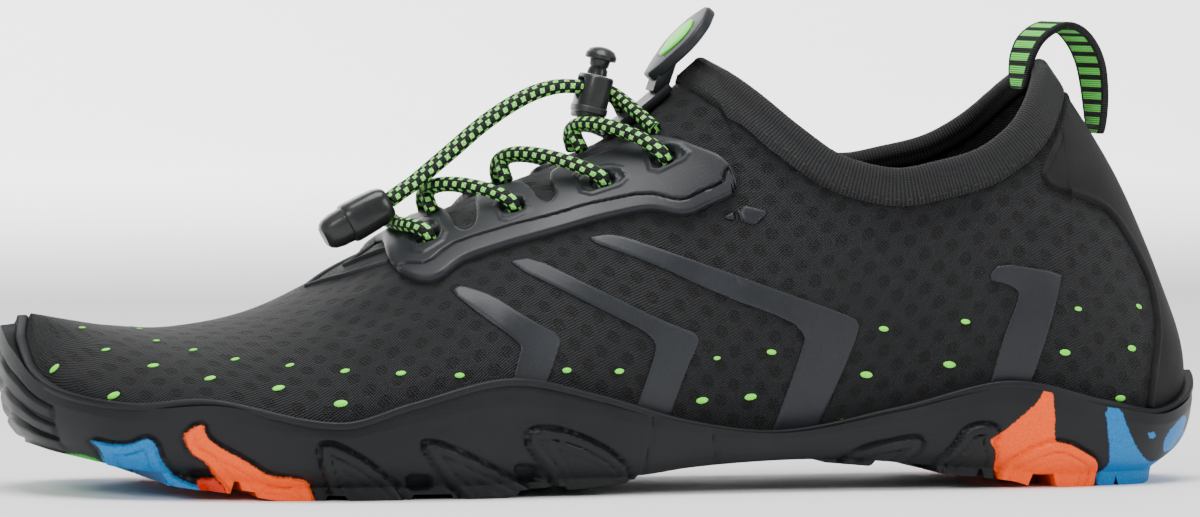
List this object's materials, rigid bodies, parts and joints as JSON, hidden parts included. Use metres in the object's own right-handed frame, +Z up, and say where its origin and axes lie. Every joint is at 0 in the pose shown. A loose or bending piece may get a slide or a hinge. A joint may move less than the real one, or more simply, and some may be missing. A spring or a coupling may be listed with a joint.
{
  "type": "water shoe",
  "caption": "Low left water shoe: cup sole with leaf lugs, hollow knit upper, laced overlays, heel loop and an elastic cord with a push lock.",
  "frame": {"origin": "on the ground, under the middle of the bounding box", "axes": "+Z up, toe towards -X, heel towards +X, outer side of the foot towards -Y"},
  "size_m": [0.2774, 0.1046, 0.1094],
  "materials": {
    "grey_rubber": "dark grey moulded rubber, satin, with coloured lug areas",
    "black_knit": "black stretch air mesh, matte",
    "insole_foam": "dark textile over foam, matte",
    "slate_film": "thin welded film, slate grey, satin",
    "moulded_grey": "flexible moulded overlay, dark grey, satin",
    "ribbed_tape": "ribbed knit tape, matte",
    "heel_suede": "smooth suede-like textile, matte",
    "green_webbing": "woven webbing with green stripes, matte",
    "checked_cord": "braided elastic cord, black with green checks",
    "lock_plastic": "dark grey moulded plastic, satin"
  },
  "bodies": {
    "root": {"ankle_film_inner": "slate_film", "ankle_film_outer": "slate_film", "back_chevron_inner": "slate_film", "back_chevron_outer": "slate_film", "collar_binding": "ribbed_tape", "cord_end_cap": "lock_plastic", "cord_lock_barrel": "lock_plastic", "cord_lock_button": "lock_plastic", "eyestay_inner": "moulded_grey", "eyestay_outer": "moulded_grey", "free_cord_inner": "checked_cord", "free_cord_outer": "checked_cord", "front_chevron_inner": "slate_film", "front_chevron_outer": "slate_film", "heel_bar_inner": "slate_film", "heel_bar_outer": "slate_film", "heel_loop": "green_webbing", "heel_panel": "heel_suede", "insole": "insole_foam", "instep_tab": "moulded_grey", "lace_bar": "checked_cord", "lace_crossing_low": "checked_cord", "lace_crossing_middle": "checked_cord", "lace_crossing_top": "checked_cord", "middle_chevron_inner": "slate_film", "middle_chevron_outer": "slate_film", "outsole": "grey_rubber", "upper": "black_knit"}
  },
  "joints": []
}
